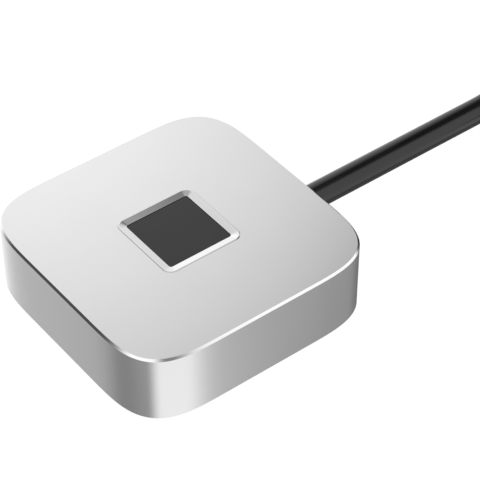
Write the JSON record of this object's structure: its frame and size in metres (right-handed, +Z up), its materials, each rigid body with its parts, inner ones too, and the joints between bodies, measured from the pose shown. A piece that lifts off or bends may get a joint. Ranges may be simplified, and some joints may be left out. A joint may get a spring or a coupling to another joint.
{
  "type": "fingerprint scanner",
  "caption": "Small square desktop fingerprint scanner with softly rounded corners, a bevelled window round a dark sensor, and a coiled USB lead from its rear wall.",
  "frame": {"origin": "on the table under the middle of the housing, at the bottom of the rubber foot", "axes": "+Z up out of the sensor, +Y to the rear where the lead leaves, +X to the right seen from the front"},
  "size_m": [0.0666, 0.1534, 0.012],
  "materials": {
    "housing": "bead-blasted, clear anodised, satin",
    "bright_cut": "diamond-cut and polished",
    "sensor": "dark satin sensor coating",
    "package": "black moulding compound",
    "gasket": "thin black adhesive foam",
    "flex": "amber polyimide film",
    "stiffener": "stainless sheet",
    "cushion": "dark grey silicone foam",
    "retainer": "black glass-filled nylon",
    "screws": "zinc plated",
    "board": "green solder mask",
    "chips": "black epoxy",
    "tin": "tinned metal",
    "passives": "ceramic with tinned ends",
    "connector": "ivory nylon",
    "latch": "black nylon",
    "wire_red": "red PVC insulation",
    "wire_white": "white PVC insulation",
    "wire_green": "green PVC insulation",
    "wire_black": "black PVC insulation",
    "base": "dark grey ABS, fine texture",
    "foot": "dark silicone rubber",
    "gland": "black flexible PVC",
    "cable": "black PVC sheath, satin",
    "tie": "black hook-and-loop strap",
    "plug": "black PVC overmould",
    "plug_shell": "nickel plated steel",
    "plug_tongue": "white PBT",
    "contacts": "gold plated"
  },
  "bodies": {
    "root": {"housing": "housing", "sensor_bezel": "bright_cut", "sensor_cover": "sensor", "sensor_package": "package", "sensor_gasket": "gasket", "sensor_flex": "flex", "sensor_stiffener": "stiffener", "sensor_cushion": "cushion", "sensor_retainer": "retainer", "retainer_screws": "screws", "main_board": "board", "board_screws": "screws", "controller_chip": "chips", "flash_chip": "chips", "crystal": "tin", "voltage_regulator": "chips", "esd_array": "chips", "passive_parts": "passives", "flex_connector": "connector", "connector_latch": "latch", "cable_header": "connector", "header_pins": "tin", "crimp_housing": "connector", "wire_drain": "tin", "wire_red": "wire_red", "wire_white": "wire_white", "wire_green": "wire_green", "wire_black": "wire_black", "base_plate": "base", "base_screws": "screws", "rubber_foot": "foot", "cable_gland": "gland", "usb_cable": "cable", "cable_tail": "cable", "cable_coil": "cable", "cable_tie": "tie", "plug_overmould": "plug", "plug_shell": "plug_shell", "plug_tongue": "plug_tongue", "plug_contacts": "contacts"}
  },
  "joints": []
}
